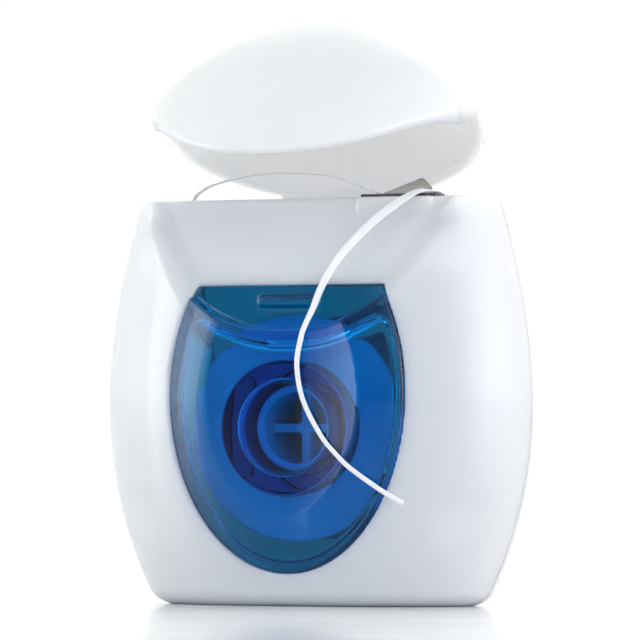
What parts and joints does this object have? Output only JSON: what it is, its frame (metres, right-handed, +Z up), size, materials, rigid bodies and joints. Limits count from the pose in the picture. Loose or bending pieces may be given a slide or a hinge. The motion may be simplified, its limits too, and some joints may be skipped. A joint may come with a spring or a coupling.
{
  "type": "dental floss dispenser",
  "caption": "Pocket floss dispenser: rounded white case with a hinged flip-up lid, a clear blue front window, a steel cutter on the deck and a spool of floss inside.",
  "frame": {"origin": "middle of the resting face under the case, on the seam between the two shells", "axes": "+X to the right of the window, -Y out of the front, +Z up"},
  "size_m": [0.045, 0.0267, 0.059],
  "materials": {
    "white_case": "satin moulded plastic",
    "blue_window": "clear tinted moulded plastic",
    "cutter_steel": "brushed stainless sheet",
    "spool_plastic": "moulded plastic",
    "floss": "waxed floss tape"
  },
  "bodies": {
    "case": {"front_shell": "white_case", "rear_shell": "white_case", "window_insert": "blue_window", "cutter_blade": "cutter_steel", "floss_strand": "floss"},
    "lid": {"lid": "white_case"},
    "spool": {"spool": "spool_plastic", "floss_bulk": "floss", "floss_outer_turns": "floss"}
  },
  "joints": [
    {"name": "lid_hinge", "type": "hinge", "parent": "case", "child": "lid", "pos_m": [0, 0.0063, 0.0396], "axis": [-1, 0, 0], "range_deg": [-45, 65]},
    {"name": "spool_spin", "type": "hinge", "parent": "case", "child": "spool", "pos_m": [0, 0, 0.0176], "axis": [0, 1, 0], "continuous": true}
  ]
}
